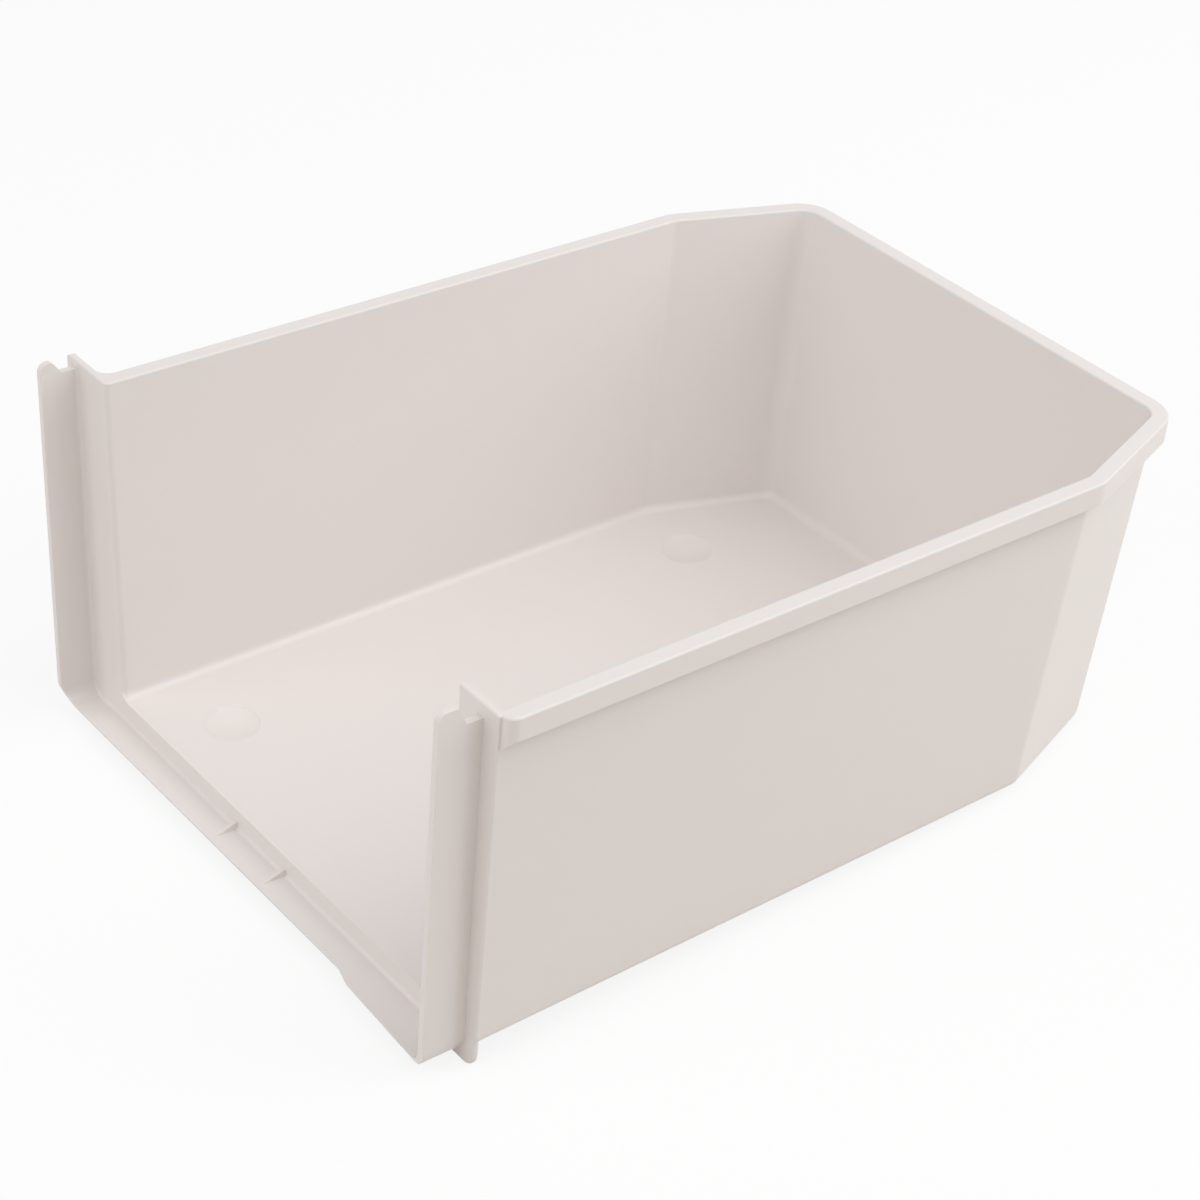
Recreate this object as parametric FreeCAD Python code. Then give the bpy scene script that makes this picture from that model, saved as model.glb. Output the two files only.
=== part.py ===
"""Fridge crisper drawer: one injection-moulded bin with a framed open front.

X runs across the drawer, Y from the front to the back and Z up. All sizes are in millimetres.
While it is built, X = 0 is the middle of the bin, Y = 0 the front of the frame flange and
Z = 0 the lower edge of that flange. The finished part is moved to the middle of its own base.
"""
import FreeCAD
import Part
import math
import os

from FreeCAD import Vector

# Bin: the rolled rim at the top
rim_height = 142.4
rim_width = 241.0
rim_depth = 305.7
rim_taper = 3.0
rim_reach = 6.3
rim_plate = 2.0
rim_edge_radius = 0.8
lip_height = 8.5
lip_thickness = 2.0
rim_end_radius = 5.0
rim_end_setback = 1.2
rim_end_radius_right = 4.0
rim_end_web = 4.5

# Bin: walls and floor
wall = 2.2
side_inset = 4.7
back_inset = 10.0
chamfer_across = 19.0
chamfer_along = 51.5
chamfer_side_radius = 6.0
chamfer_back_radius = 8.0
floor_height = 13.3
floor_rise = 4.2
floor_thickness = 3.0
floor_inner_radius = 3.5
floor_outer_radius = 4.0
mouth_radius = 2.5
mouth_root_radius = 3.8
front_edge_radius = 0.8

# Round feet pressed down out of the floor, placed from the edges of the rim
foot_diameter = 22.0
foot_depth = 2.5
foot_from_side = 44.8
foot_from_front = 24.3
foot_from_back = 70.9

# Front frame: the flange, which reaches past the rim on the left and stops short of it on the right
flange_reach_left = 20.6
flange_inset_right = 5.2
flange_thickness = 2.6
flange_corner_radius = 5.0
flange_top_radius = 3.0
flange_edge_radius = 1.0
flange_band = 18.8

# Front frame: the channel web that stands out in front of the flange
web_setback_left = 5.3
web_setback_right = 6.2
web_lean = 3.5
web_thickness = 2.4
web_corner_radius = 8.0
web_depth = 14.2
web_depth_right = 16.4
web_cove_radius = 1.5
web_taper = 0.42
web_taper_radius_left = 6.0
web_taper_radius_right = 1.5
sill_drop = 8.0
sill_thickness = 2.2
sill_setback = 3.9
sill_setback_right = 1.6
sill_flare_length = 59.8
sill_flare_step = 2.2
sill_flare_run = 7.7

# Front frame: the tabs on top of the web and the notches behind them
tab_rise = 2.1
notch_drop_left = 2.6
notch_drop_right = 4.8
notch_length = 6.0
tab_slope = 3.5
tab_front_radius = 3.5
tab_back_radius = 1.5

# Front frame: the gussets on the sill
gusset_count = 2
gusset_thickness = 1.6
gusset_height = 2.8
gusset_setback = 1.5
gusset_first = -18.7
gusset_spacing = 31.3

# Overrun that lets a tool pass clean through what it cuts, size of a block that stands
# for all of one side of a plane, and how near its place an edge is looked for
overrun = 20.0
half_space = 1000.0
near = 0.01

inner_back = rim_depth - rim_reach
drop = rim_height - floor_height
side_taper = rim_taper / rim_depth
side_draft = side_inset / drop
back_draft = back_inset / drop
floor_slope = floor_rise / rim_depth
chamfer_length = math.hypot(chamfer_across, chamfer_along)
chamfer_front = inner_back - chamfer_along
frame_left = -rim_width / 2 - flange_reach_left
frame_right = rim_width / 2 - flange_inset_right
flange_lean = side_draft * rim_height
web_left = frame_left + web_setback_left
web_right = frame_right - web_setback_right
sill_top = floor_height - sill_drop
sill_height = sill_top - sill_thickness
sill_depth = web_depth - sill_setback
sill_depth_right = web_depth_right - sill_setback_right
gusset_length = sill_depth - gusset_setback


def rounded_wire(points, radii):
    """Closed wire through the points, with a tangent arc of its own radius at each corner."""
    edges = []
    starts = []
    ends = []
    mids = []
    count = len(points)
    for i in range(count):
        corner = points[i]
        before = (points[i - 1] - corner).normalize()
        after = (points[(i + 1) % count] - corner).normalize()
        half = before.getAngle(after) / 2
        reach = radii[i] / math.tan(half)
        bisector = (before + after).normalize()
        starts.append(corner + before * reach)
        ends.append(corner + after * reach)
        mids.append(corner + bisector * (radii[i] / math.sin(half) - radii[i]))
    for i in range(count):
        if radii[i] > 0:
            edges.append(Part.Arc(starts[i], mids[i], ends[i]).toShape())
        edges.append(Part.LineSegment(ends[i], starts[(i + 1) % count]).toShape())
    return Part.Wire(edges)


def prism(wire, travel):
    """Solid swept from a flat wire along a straight travel."""
    return Part.Face(wire).extrude(travel)


def side_at(height, along):
    """Half width of the space inside the bin at a height and a depth."""
    return rim_width / 2 - rim_reach - side_taper * along - side_draft * (rim_height - height)


def chamfer_points(side, back, grow):
    """Two ends of the right rear chamfer, with the outline grown outwards by the same amount all round."""
    grow_along = grow * (chamfer_length - chamfer_along) / chamfer_across
    grow_across = grow * (chamfer_length - chamfer_across) / chamfer_along
    side_end = (side + grow, back - chamfer_along + grow_along)
    back_end = (side - chamfer_across + grow_across, back + grow)
    return [side_end, back_end]


def mirrored(points):
    """Same points on the other side of the bin, in the opposite order."""
    return [(-x, y) for x, y in reversed(points)]


def beyond(point, normal):
    """Large block that stands for all that is outside a flat wall."""
    corner = Vector(-half_space / 2, -half_space / 2, 0)
    block = Part.makeBox(half_space, half_space, half_space, corner)
    block.Placement = FreeCAD.Placement(point, FreeCAD.Rotation(Vector(0, 0, 1), normal))
    return block


def wall_planes():
    """A point at the rim and the outward normal of each inside face: sides, chamfers and back."""
    side = Vector(side_at(rim_height, 0), 0, rim_height)
    chamfer = Vector(side_at(rim_height, chamfer_front), chamfer_front, rim_height)
    chamfer_draft = chamfer_along * (side_draft - side_taper * back_draft) + chamfer_across * back_draft
    planes = [(Vector(0, inner_back, rim_height), Vector(0, 1, -back_draft))]
    for sign in (1, -1):
        planes.append((Vector(sign * side.x, 0, side.z), Vector(sign, side_taper, -side_draft)))
        normal = Vector(sign * chamfer_along, chamfer_across, -chamfer_draft)
        planes.append((Vector(sign * chamfer.x, chamfer.y, chamfer.z), normal))
    return [(point, normal.normalize()) for point, normal in planes]


def tall_edges(solid, front, back):
    """Upright edges of a solid between two depths."""
    found = []
    for edge in solid.Edges:
        if edge.BoundBox.ZLength > drop / 2 and front < edge.CenterOfMass.y < back:
            found.append(edge)
    return found


def floor_edges(solid, mouth):
    """Edges round the sloping underside of a solid, apart from those in front of its mouth."""
    underside = min(solid.Faces, key=lambda face: face.CenterOfMass.z)
    return [edge for edge in underside.Edges if edge.CenterOfMass.y > mouth + near]


def bin_block(grow, top, level, radius, corner, left):
    """Drafted block with the bin's form, grown outwards, that turns along the flange on its left."""
    height = overrun + top
    block = Part.makeBox(half_space, half_space, height, Vector(-half_space / 2, -overrun, -overrun))
    block = block.cut([beyond(point + normal * grow, normal) for point, normal in wall_planes()])
    flare = Part.makeBox(-left, overrun + grow, height, Vector(left, -overrun, -overrun))
    under_floor = beyond(Vector(0, 0, level), Vector(0, floor_slope, -1))
    block = block.fuse(flare).cut(under_floor).removeSplitter()
    chamfer_middle = chamfer_front + chamfer_along / 2 - back_inset
    block = block.makeFillet(corner, tall_edges(block, grow - near, rim_depth / 2))
    block = block.makeFillet(chamfer_back_radius + grow, tall_edges(block, chamfer_middle, rim_depth))
    block = block.makeFillet(chamfer_side_radius + grow, tall_edges(block, rim_depth / 2, chamfer_middle))
    return block.makeFillet(radius, floor_edges(block, grow))


def rim_wire(height, reach):
    """Outline of the rim, rounded off at its right end and flaring into the flange at its left."""
    inward = rim_reach - reach
    side = rim_width / 2 - inward
    chamfer = chamfer_points(side_at(rim_height, chamfer_front), inner_back, reach)
    right_end = rim_end_setback + inward
    left_end = flange_thickness - inward
    buried = (flange_thickness - lip_thickness) / 2
    right_in = side - 2 * rim_end_radius
    left_out = side + 2 * rim_end_radius
    points = [(right_in, right_end), (side, right_end)] + chamfer + mirrored(chamfer)
    points += [(-side, left_end), (-left_out, left_end), (-left_out, buried), (right_in, buried)]
    radii = [0, rim_end_radius_right - inward, chamfer_side_radius + reach, chamfer_back_radius + reach,
             chamfer_back_radius + reach, chamfer_side_radius + reach, rim_end_radius + inward, 0, 0, 0]
    return rounded_wire([Vector(x, y, height) for x, y in points], radii)


def make_rim():
    """Rim plate with its lip turned down all round, hollow between the lip and the wall."""
    lip_bottom = rim_height - lip_height
    block = prism(rim_wire(lip_bottom, rim_reach), Vector(0, 0, lip_height))
    channel = prism(rim_wire(lip_bottom, rim_reach - lip_thickness), Vector(0, 0, lip_height - rim_plate))
    return block.cut(channel)


def make_rim_end():
    """Small web under the right end of the rim, with its lower edge sloping in to the wall."""
    side = rim_width / 2
    lip_bottom = rim_height - lip_height
    below = Vector(0, 0, rim_end_web)
    block = prism(rim_wire(lip_bottom - rim_end_web, rim_reach), below)
    corner = Vector(side - 2 * rim_end_radius_right, 0, lip_bottom - rim_end_web)
    keep = Part.makeBox(side - corner.x, rim_end_setback + lip_thickness, rim_end_web, corner)
    return block.common(keep).cut(beyond(Vector(side, 0, lip_bottom), Vector(1, 0, -1)))


def u_wire(along, left, right, lean, base, radius, top):
    """Upright outline in the plane of the frame, narrowing downwards to a rounded base."""
    low = lean * (rim_height - base) / rim_height
    high = lean * (rim_height - top) / rim_height
    points = [(left + high, top), (left + low, base), (right - low, base), (right - high, top)]
    return rounded_wire([Vector(x, along, z) for x, z in points], [0, radius, radius, 0])


def make_flange():
    """Flat flange that closes the front of the walls and reaches past them."""
    wire = u_wire(0, frame_left, frame_right, flange_lean, 0, flange_corner_radius, rim_height)
    plate = prism(wire, Vector(0, flange_thickness, 0))
    long_edges = [edge for edge in plate.Edges if edge.BoundBox.YLength < near]
    free = [edge for edge in long_edges if edge.BoundBox.ZMin < rim_height / 2]
    return plate.makeFillet(flange_edge_radius, free)


def top_front(edge):
    """Whether an edge runs along the top of the flange, at its front."""
    box = edge.BoundBox
    return box.YMax < near and box.ZMin > rim_height - near


def make_right_band():
    """Part of the flange that stands inboard of the right wall."""
    inner = frame_right - flange_band
    low = floor_height - floor_thickness / 2
    outline = [(inner, low), (side_at(low, 0) + wall / 2, low),
               (side_at(rim_height, 0) + wall / 2, rim_height), (inner, rim_height)]
    wire = Part.makePolygon([Vector(x, 0, z) for x, z in outline + outline[:1]])
    band = prism(wire, Vector(0, flange_thickness, 0))
    return band.makeFillet(rim_edge_radius, [edge for edge in band.Edges if top_front(edge)])


def web_block(along, grow, travel):
    """Block with the outline of the space inside the channel web, grown outwards."""
    inward = web_thickness - grow
    base = sill_height + sill_thickness * inward / web_thickness
    radius = web_corner_radius - inward
    top = rim_height + tab_rise
    return prism(u_wire(along, web_left + inward, web_right - inward, web_lean, base, radius, top), travel)


def plan_prism(plan, height, travel):
    """Solid swept from an outline seen from above."""
    wire = Part.makePolygon([Vector(x, y, height) for x, y in plan + plan[:1]])
    return prism(wire, travel)


def make_web():
    """Channel web round the frame: two uprights with tabs, and the shallower sill between them."""
    tab_top = rim_height + tab_rise
    tab_end = -notch_length - tab_slope
    middle = (web_left + web_right) / 2
    root = flange_thickness / 2
    travel = Vector(0, -root - overrun - web_depth_right, 0)
    space = web_block(0, 0, travel)
    space = space.makeFillet(web_cove_radius, [edge for edge in space.Edges if edge.BoundBox.YMin > -near])
    mouth = web_block(root, -web_cove_radius, travel)
    channel = web_block(root, web_thickness, travel).cut([space, mouth])
    uprights = [(frame_left, root), (frame_left, -web_depth), (middle, -web_depth),
                (middle, -web_depth_right), (frame_right, -web_depth_right), (frame_right, root)]
    web = channel.common(plan_prism(uprights, 0, Vector(0, 0, tab_top + overrun)))
    rise = tab_top + overrun
    behind = root + web_taper * rise
    flare_start = web_right - sill_flare_length
    front = [(frame_left, behind), (frame_left, -sill_depth), (flare_start, -sill_depth),
             (flare_start + sill_flare_run, -sill_depth - sill_flare_step),
             (web_right - web_corner_radius, -sill_depth_right), (frame_right, -sill_depth_right),
             (frame_right, behind)]
    web = web.common(plan_prism(front, sill_height, Vector(0, -web_taper * rise, rise)))
    halves = [(frame_left, middle, notch_drop_left), (middle, frame_right, notch_drop_right)]
    for start, end, notch_drop in halves:
        notch_floor = rim_height - notch_drop
        notch = [(root, tab_top + overrun), (root, notch_floor), (-notch_length, notch_floor),
                 (tab_end, tab_top), (tab_end, tab_top + overrun)]
        notch_wire = Part.makePolygon([Vector(start, y, z) for y, z in notch + notch[:1]])
        web = web.cut(prism(notch_wire, Vector(end - start, 0, 0)))
    web = web.makeFillet(tab_front_radius, cross_edges(web, tab_top, -web_depth_right, -web_depth))
    web = web.makeFillet(tab_back_radius, cross_edges(web, tab_top, tab_end, tab_end))
    left_bend = sill_height + sill_setback / web_taper
    web = web.makeFillet(web_taper_radius_left, cross_edges(web, left_bend, -web_depth, -web_depth))
    right_bend = sill_height + sill_setback_right / web_taper
    right_edges = cross_edges(web, right_bend, -web_depth_right, -web_depth_right)
    return web.makeFillet(web_taper_radius_right, right_edges)


def cross_edges(web, height, front, rear):
    """Level edges across the uprights at a height, from one depth to another."""
    found = []
    for edge in web.Edges:
        box = edge.BoundBox
        level = abs(box.ZMin - height) < near and box.ZLength < near
        across = box.YLength < near
        placed = box.YMin > front - near and box.YMax < rear + near
        if level and across and placed:
            found.append(edge)
    return found


def make_gussets():
    """Small triangular ribs that brace the sill against the flange."""
    root = flange_thickness / 2
    sill_middle = sill_height + sill_thickness / 2
    gusset_top = sill_top + gusset_height
    profile = [(root, sill_middle), (-gusset_length, sill_middle), (-gusset_length, sill_top),
               (0, gusset_top), (root, gusset_top)]
    middle = (web_left + web_right) / 2
    ribs = []
    for index in range(gusset_count):
        x = middle + gusset_first + index * gusset_spacing - gusset_thickness / 2
        wire = Part.makePolygon([Vector(x, y, z) for y, z in profile + profile[:1]])
        ribs.append(prism(wire, Vector(gusset_thickness, 0, 0)))
    return ribs


def foot_places():
    """Middle of each round foot, on the sloping floor."""
    across = rim_width / 2 - foot_from_side
    places = []
    for x in (-across, across):
        for y in (foot_from_front, rim_depth - foot_from_back):
            places.append(Vector(x, y, floor_height + floor_slope * y))
    return places


def foot_cap(place, diameter):
    """Shallow round cap that hangs below a place, with its flat side up."""
    radius = (diameter ** 2 / 4 + foot_depth ** 2) / (2 * foot_depth)
    ball = Part.makeSphere(radius, place + Vector(0, 0, radius - foot_depth))
    below = 2 * foot_depth
    keep = Part.makeCylinder(diameter / 2, below + floor_thickness, place - Vector(0, 0, below))
    return ball.common(keep)


def rim_top(body):
    """Flat top of the rim and of the flange."""
    return max(body.Faces, key=lambda face: face.CenterOfMass.z)


def right_front(body):
    """Outer upright edge of the right wall, in the front plane of the flange."""
    upright = [edge for edge in body.Edges if edge.BoundBox.ZLength > drop / 2]
    in_plane = [edge for edge in upright if abs(edge.CenterOfMass.y) < near]
    return [max(in_plane, key=lambda edge: edge.CenterOfMass.x)]


def make_corner_cut():
    """Tool that rounds off the upper left corner of the flange."""
    across = Vector(0, -overrun, 0)
    low = Vector(frame_left - overrun, 0, rim_height - flange_top_radius) + across
    depth = flange_thickness + 2 * overrun
    block = Part.makeBox(overrun + flange_top_radius, depth, overrun + flange_top_radius, low)
    middle = Vector(frame_left + flange_top_radius, 0, rim_height - flange_top_radius) + across
    return block.cut(Part.makeCylinder(flange_top_radius, depth, middle, Vector(0, 1, 0)))


def make_bin():
    """Whole moulding: walls, floor, rim, feet and front frame as one solid."""
    past_flange = frame_left - overrun
    inner = bin_block(0, rim_height + overrun, floor_height, floor_inner_radius, mouth_radius, past_flange)
    within_flange = frame_left + flange_reach_left / 2
    under = floor_height - floor_thickness
    outer = bin_block(wall, rim_height, under, floor_outer_radius, mouth_root_radius, within_flange)
    outer = outer.cut(beyond(Vector(0, 0, 0), Vector(0, -1, 0)))
    body = outer.fuse([make_flange(), make_rim(), make_rim_end()])
    below = Vector(0, 0, -floor_thickness)
    foot_outside = foot_diameter + 2 * floor_thickness
    body = body.fuse([foot_cap(place + below, foot_outside) for place in foot_places()])
    body = body.cut(inner)
    body = body.cut([foot_cap(place, foot_diameter) for place in foot_places()])
    body = body.removeSplitter()
    body = body.makeFillet(front_edge_radius, right_front(body))
    body = body.makeFillet(rim_edge_radius, rim_top(body).Edges)
    body = body.cut(make_corner_cut())
    body = body.fuse([make_right_band(), make_web()] + make_gussets())
    return body.removeSplitter()


def main():
    """Build the moulding, stand it on the middle of its base and write it out."""
    os.makedirs("parts", exist_ok=True)
    body = make_bin()
    box = body.optimalBoundingBox(False)
    body.translate(Vector(-box.Center.x, -box.Center.y, -box.ZMin))
    print("valid", body.isValid(), "solids", len(body.Solids), "volume", round(body.Volume))
    print("size", round(box.XLength, 2), round(box.YLength, 2), round(box.ZLength, 2), "centre", box.Center)
    body.exportStep("parts/crisper_bin.step")


main()
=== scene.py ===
"""Fridge crisper bin in white satin plastic, on a pale floor under soft studio light."""

import logging
import math
from dataclasses import dataclass, field
from enum import Enum

import bpy
from mathutils import Matrix, Vector


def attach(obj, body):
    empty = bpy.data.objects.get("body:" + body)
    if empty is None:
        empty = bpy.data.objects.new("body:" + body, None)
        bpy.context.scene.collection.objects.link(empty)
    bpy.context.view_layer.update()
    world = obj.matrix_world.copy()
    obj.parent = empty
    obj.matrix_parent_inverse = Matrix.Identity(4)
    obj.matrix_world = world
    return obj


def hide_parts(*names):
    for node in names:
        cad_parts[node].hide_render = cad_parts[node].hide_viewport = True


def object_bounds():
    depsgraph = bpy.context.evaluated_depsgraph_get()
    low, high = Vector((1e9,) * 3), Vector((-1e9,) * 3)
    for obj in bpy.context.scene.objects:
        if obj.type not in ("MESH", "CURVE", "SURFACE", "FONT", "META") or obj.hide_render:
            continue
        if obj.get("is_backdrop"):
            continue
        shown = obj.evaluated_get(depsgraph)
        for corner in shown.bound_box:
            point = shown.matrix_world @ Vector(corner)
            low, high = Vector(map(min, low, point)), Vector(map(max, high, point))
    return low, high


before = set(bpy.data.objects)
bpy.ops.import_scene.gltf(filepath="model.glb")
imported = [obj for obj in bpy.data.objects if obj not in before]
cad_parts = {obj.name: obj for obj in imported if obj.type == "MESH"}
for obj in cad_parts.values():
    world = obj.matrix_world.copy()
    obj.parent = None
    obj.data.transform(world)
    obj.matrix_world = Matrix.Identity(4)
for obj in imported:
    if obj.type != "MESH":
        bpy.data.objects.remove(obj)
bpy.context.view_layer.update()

log = logging.getLogger("crisper_bin")

Colour = tuple[float, float, float]

ROOT_BODY = "root"
BIN_NODE = "crisper_bin"


class LampRole(Enum):
    """What each studio lamp does for the picture."""

    KEY = "key_lamp"
    REAR = "rear_lamp"
    FRONT = "front_lamp"


@dataclass(frozen=True)
class Lamp:
    """One soft lamp: what it does, its power in watts, and its bearing and height angle."""

    role: LampRole
    power: float
    azimuth: float
    elevation: float


def opaque(colour: Colour) -> tuple[float, float, float, float]:
    """Give a colour the full alpha that Blender's sockets expect."""
    return (*colour, 1.0)


def new_material(name: str) -> tuple[bpy.types.Material, bpy.types.NodeTree]:
    """Start a node material.

    Args:
        name: The name of the finish.

    Returns:
        The material and its node tree, which holds the default shader and output.
    """
    material = bpy.data.materials.new(name)
    material.use_nodes = True
    return material, material.node_tree


def background_rays(tree: bpy.types.NodeTree) -> bpy.types.NodeSocket:
    """Tell the rays that show the background from those that light the bin.

    Args:
        tree: The node tree of a background's material or world.

    Returns:
        A socket that is 1 for camera, mirror and see-through rays, and 0 for the rest.
    """
    rays = tree.nodes.new("ShaderNodeLightPath")
    shown = rays.outputs["Is Camera Ray"]
    for ray in ("Is Glossy Ray", "Is Transmission Ray"):
        both = tree.nodes.new("ShaderNodeMath")
        both.operation = "MAXIMUM"
        tree.links.new(shown, both.inputs[0])
        tree.links.new(rays.outputs[ray], both.inputs[1])
        shown = both.outputs["Value"]
    return shown


def select_only(piece: bpy.types.Object) -> None:
    """Make a piece the only selected object, and the active one.

    Args:
        piece: The object to work on.
    """
    bpy.ops.object.select_all(action="DESELECT")
    piece.select_set(True)
    bpy.context.view_layer.objects.active = piece


def bearing(azimuth: float, elevation: float) -> Vector:
    """Point from the bin towards a place round it.

    Args:
        azimuth: Angle from the open front, towards the right of someone who faces it.
        elevation: Angle above the level.

    Returns:
        A unit vector.
    """
    flat = math.cos(elevation)
    return Vector((flat * math.sin(azimuth), -flat * math.cos(azimuth), math.sin(elevation)))


@dataclass(frozen=True)
class SatinPlastic:
    """Warm white moulded polystyrene with a satin skin.

    The colour drifts a little over the moulding, the gloss varies in broad clouds, and a fine
    grain breaks up the reflections.
    """

    name: str = "satin_white_plastic"
    colour: Colour = (0.86, 0.815, 0.792)
    colour_warm: Colour = (0.855, 0.802, 0.774)
    drift_scale: float = 7.0
    drift_detail: float = 2.0
    roughness_low: float = 0.27
    roughness_high: float = 0.36
    cloud_scale: float = 26.0
    cloud_detail: float = 3.0
    grain_scale: float = 1400.0
    grain_detail: float = 2.0
    grain_height: float = 0.00003
    grain_strength: float = 0.25
    specular: float = 0.4

    def build(self) -> bpy.types.Material:
        """Wire the finish.

        Returns:
            The finished material.
        """
        material, tree = new_material(self.name)
        shader = tree.nodes["Principled BSDF"]
        shader.inputs["Specular IOR Level"].default_value = self.specular
        place = tree.nodes.new("ShaderNodeTexCoord")

        drift = self._noise(tree, place, self.drift_scale, self.drift_detail)
        tint = tree.nodes.new("ShaderNodeMix")
        tint.data_type = "RGBA"
        tint.inputs["A"].default_value = opaque(self.colour)
        tint.inputs["B"].default_value = opaque(self.colour_warm)
        tree.links.new(drift.outputs["Fac"], tint.inputs["Factor"])
        tree.links.new(tint.outputs["Result"], shader.inputs["Base Color"])

        clouds = self._noise(tree, place, self.cloud_scale, self.cloud_detail)
        gloss = tree.nodes.new("ShaderNodeMapRange")
        gloss.inputs["To Min"].default_value = self.roughness_low
        gloss.inputs["To Max"].default_value = self.roughness_high
        tree.links.new(clouds.outputs["Fac"], gloss.inputs["Value"])
        tree.links.new(gloss.outputs["Result"], shader.inputs["Roughness"])

        grain = self._noise(tree, place, self.grain_scale, self.grain_detail)
        bump = tree.nodes.new("ShaderNodeBump")
        bump.inputs["Strength"].default_value = self.grain_strength
        bump.inputs["Distance"].default_value = self.grain_height
        tree.links.new(grain.outputs["Fac"], bump.inputs["Height"])
        tree.links.new(bump.outputs["Normal"], shader.inputs["Normal"])
        return material

    @staticmethod
    def _noise(
        tree: bpy.types.NodeTree, place: bpy.types.Node, scale: float, detail: float
    ) -> bpy.types.Node:
        """Add a noise texture on the piece's own coordinates.

        Args:
            tree: The node tree to add to.
            place: The texture coordinate node.
            scale: Noise cells per metre.
            detail: How many finer octaves are laid over the first.

        Returns:
            The noise node.
        """
        noise = tree.nodes.new("ShaderNodeTexNoise")
        noise.inputs["Scale"].default_value = scale
        noise.inputs["Detail"].default_value = detail
        tree.links.new(place.outputs["Object"], noise.inputs["Vector"])
        return noise


@dataclass(frozen=True)
class PaleFloor:
    """Studio floor that shows as a white sheet with the bin's shadow.

    The light that it throws back on the bin is softer and warmer than the sheet looks.
    """

    name: str = "pale_floor"
    shown_colour: Colour = (0.95, 0.95, 0.95)
    bounce_colour: Colour = (0.66, 0.615, 0.57)
    roughness: float = 0.9
    specular: float = 0.0
    glow: float = 1.0
    glow_share: float = 0.85

    def build(self) -> bpy.types.Material:
        """Wire the finish.

        Returns:
            The finished material.
        """
        material, tree = new_material(self.name)
        sheet = tree.nodes["Principled BSDF"]
        shown = background_rays(tree)
        tint = tree.nodes.new("ShaderNodeMix")
        tint.data_type = "RGBA"
        tint.inputs["A"].default_value = opaque(self.bounce_colour)
        tint.inputs["B"].default_value = opaque(self.shown_colour)
        tree.links.new(shown, tint.inputs["Factor"])
        tree.links.new(tint.outputs["Result"], sheet.inputs["Base Color"])
        sheet.inputs["Roughness"].default_value = self.roughness
        sheet.inputs["Specular IOR Level"].default_value = self.specular
        glow = tree.nodes.new("ShaderNodeEmission")
        glow.inputs["Strength"].default_value = self.glow
        share = tree.nodes.new("ShaderNodeMath")
        share.operation = "MULTIPLY"
        share.inputs[1].default_value = self.glow_share
        tree.links.new(shown, share.inputs[0])
        mix = tree.nodes.new("ShaderNodeMixShader")
        tree.links.new(share.outputs["Value"], mix.inputs["Fac"])
        tree.links.new(sheet.outputs["BSDF"], mix.inputs[1])
        tree.links.new(glow.outputs["Emission"], mix.inputs[2])
        tree.links.new(mix.outputs["Shader"], tree.nodes["Material Output"].inputs["Surface"])
        return material


@dataclass
class MouldedBin:
    """The one-piece bin: its walls, rolled rim, feet and front frame, with softened edges."""

    finish: SatinPlastic
    weld: float = 0.00001
    flat_angle: float = math.radians(0.5)
    edge_angle: float = math.radians(35.0)
    edge_radius: float = 0.0004
    edge_segments: int = 2
    piece: bpy.types.Object | None = field(default=None, init=False)

    def build(self, node: bpy.types.Object) -> bpy.types.Object:
        """Make one clean skin from the bin's solid, and round off its crisp edges.

        Args:
            node: The bin's solid as it was loaded.

        Returns:
            The finished piece, which stands for the solid.
        """
        select_only(node)
        bpy.ops.object.duplicate()
        piece = bpy.context.active_object
        piece.name = "bin_moulding"
        piece.data.name = "bin_moulding"
        self._weld(piece)
        self._soften(piece)
        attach(piece, ROOT_BODY)
        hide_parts(BIN_NODE)
        self.piece = piece
        return piece

    def dress(self) -> None:
        """Give the moulding its finish."""
        self.piece.data.materials.clear()
        self.piece.data.materials.append(self.finish.build())

    def _weld(self, piece: bpy.types.Object) -> None:
        """Merge the loose triangles into a closed skin with whole flat faces.

        Args:
            piece: The copy of the bin's solid.
        """
        select_only(piece)
        bpy.ops.object.mode_set(mode="EDIT")
        bpy.ops.mesh.select_all(action="SELECT")
        bpy.ops.mesh.customdata_custom_splitnormals_clear()
        bpy.ops.mesh.remove_doubles(threshold=self.weld)
        bpy.ops.mesh.dissolve_limited(angle_limit=self.flat_angle)
        bpy.ops.object.mode_set(mode="OBJECT")

    def _soften(self, piece: bpy.types.Object) -> None:
        """Round the crisp edges and shade the rounds smoothly beside flat faces.

        Args:
            piece: The welded moulding.
        """
        select_only(piece)
        rounding = piece.modifiers.new("edge_rounding", "BEVEL")
        rounding.limit_method = "ANGLE"
        rounding.angle_limit = self.edge_angle
        rounding.width = self.edge_radius
        rounding.segments = self.edge_segments
        rounding.use_clamp_overlap = True
        bpy.ops.object.modifier_apply(modifier=rounding.name)
        bpy.ops.object.shade_smooth_by_angle(angle=self.edge_angle)
        shading = piece.modifiers.new("flat_face_shading", "WEIGHTED_NORMAL")
        shading.keep_sharp = True
        bpy.ops.object.modifier_apply(modifier=shading.name)


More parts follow.
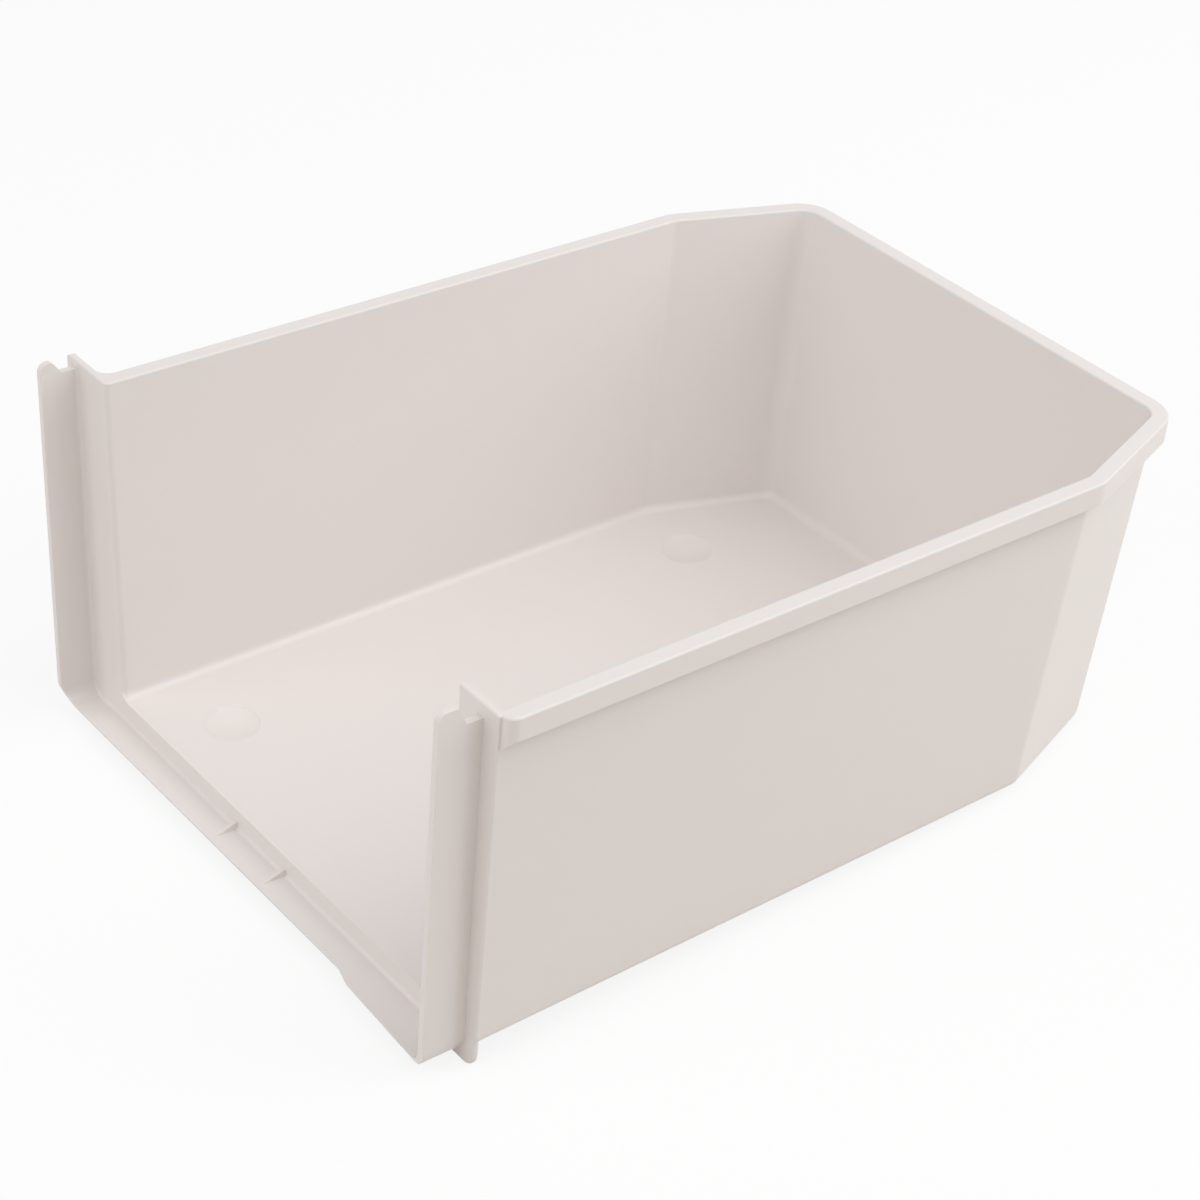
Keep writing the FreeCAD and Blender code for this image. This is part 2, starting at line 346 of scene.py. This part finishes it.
@dataclass
class Studio:
    """Pale floor, white surroundings and soft lamps."""

    floor_finish: PaleFloor
    floor_size: float = 12.0
    floor_clearance: float = 0.0002
    stance_reach: float = 0.05
    stance_digits: int = 4
    world_colour: Colour = (1.0, 1.0, 1.0)
    world_light: float = 0.475
    shown_light: float = 1.0
    lamp_distance: float = 1.9
    lamp_size: float = 1.6
    lamps: tuple[Lamp, ...] = (
        Lamp(LampRole.KEY, 9.6, math.radians(115.0), math.radians(64.0)),
        Lamp(LampRole.REAR, 12.2, math.radians(139.0), math.radians(34.0)),
        Lamp(LampRole.FRONT, 10.2, math.radians(-8.0), math.radians(26.0)),
    )

    def build(self, piece: bpy.types.Object) -> None:
        """Set the floor under the bin, the surroundings round it and the lamps above it.

        Args:
            piece: The finished bin.
        """
        self._add_floor(piece)
        self._add_surroundings()
        middle = sum(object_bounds(), Vector()) / 2
        for lamp in self.lamps:
            self._add_lamp(lamp, middle)

    def _add_floor(self, piece: bpy.types.Object) -> None:
        """Lay the floor against the front flange and the rear feet, on which the bin stands.

        Args:
            piece: The finished bin.
        """
        points = [vertex.co for vertex in piece.data.vertices]
        front = min(points, key=lambda point: (round(point.z, self.stance_digits), point.y))
        behind = [point for point in points if point.y > front.y + self.stance_reach]
        slope = min((point.z - front.z) / (point.y - front.y) for point in behind)
        bpy.ops.object.select_all(action="DESELECT")
        bpy.ops.mesh.primitive_plane_add(size=self.floor_size)
        floor = bpy.context.active_object
        floor.name = "studio_floor"
        lean = Matrix.Rotation(math.atan(slope), 4, "X")
        drop = Matrix.Translation((0.0, front.y, front.z - self.floor_clearance))
        floor.data.transform(drop @ lean)
        floor.data.materials.append(self.floor_finish.build())
        floor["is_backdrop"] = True
        log.info("floor leans %.2f degrees under the bin's feet", math.degrees(math.atan(slope)))

    def _add_surroundings(self) -> None:
        """Light the bin evenly from all round, and show white behind it."""
        world = bpy.data.worlds.new("white_studio")
        world.use_nodes = True
        bpy.context.scene.world = world
        tree = world.node_tree
        soft = tree.nodes["Background"]
        soft.inputs["Color"].default_value = opaque(self.world_colour)
        soft.inputs["Strength"].default_value = self.world_light
        white = tree.nodes.new("ShaderNodeBackground")
        white.inputs["Color"].default_value = opaque(self.world_colour)
        white.inputs["Strength"].default_value = self.shown_light
        mix = tree.nodes.new("ShaderNodeMixShader")
        tree.links.new(background_rays(tree), mix.inputs["Fac"])
        tree.links.new(soft.outputs["Background"], mix.inputs[1])
        tree.links.new(white.outputs["Background"], mix.inputs[2])
        tree.links.new(mix.outputs["Shader"], tree.nodes["World Output"].inputs["Surface"])

    def _add_lamp(self, lamp: Lamp, aim: Vector) -> None:
        """Hang one soft square lamp that faces the bin.

        Args:
            lamp: The lamp's role, power and place round the bin.
            aim: The point that it faces.
        """
        bpy.ops.object.select_all(action="DESELECT")
        bpy.ops.object.light_add(type="AREA")
        panel = bpy.context.active_object
        panel.name = lamp.role.value
        panel.data.shape = "SQUARE"
        panel.data.size = self.lamp_size
        panel.data.energy = lamp.power
        away = bearing(lamp.azimuth, lamp.elevation)
        panel.location = aim + self.lamp_distance * away
        panel.rotation_euler = (-away).to_track_quat("-Z", "Y").to_euler()


@dataclass
class PhotoCamera:
    """Camera at the photograph's viewing angle, looking into the bin over its right wall."""

    azimuth: float = math.radians(50.587)
    elevation: float = math.radians(33.344)
    roll: float = math.radians(3.80)
    distance: float = 1.0547
    aim: Vector = field(default_factory=lambda: Vector((0.00838, -0.01246, 0.07)))
    lens: float = 89.51
    sensor: float = 36.0

    def build(self) -> bpy.types.Object:
        """Place the camera and make it the scene's own.

        Returns:
            The camera object.
        """
        bpy.ops.object.select_all(action="DESELECT")
        bpy.ops.object.camera_add()
        camera = bpy.context.active_object
        camera.name = "photo_camera"
        camera.data.lens = self.lens
        camera.data.sensor_width = self.sensor
        away = bearing(self.azimuth, self.elevation)
        level = (-away).to_track_quat("-Z", "Y").to_matrix().to_4x4()
        tilt = Matrix.Rotation(self.roll, 4, "Z")
        camera.matrix_world = Matrix.Translation(self.aim + self.distance * away) @ level @ tilt
        bpy.context.scene.camera = camera
        return camera


def main() -> None:
    """Build the bin, the studio and the camera in order."""
    logging.basicConfig(level=logging.INFO)
    bpy.context.scene.view_settings.view_transform = "Standard"

    moulding = MouldedBin(finish=SatinPlastic())
    piece = moulding.build(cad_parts[BIN_NODE])
    moulding.dress()
    log.info("%s: %d faces", piece.name, len(piece.data.polygons))

    Studio(floor_finish=PaleFloor()).build(piece)
    camera = PhotoCamera().build()
    log.info("%s: %.1f mm lens", camera.name, camera.data.lens)


if __name__ == "__main__":
    main()
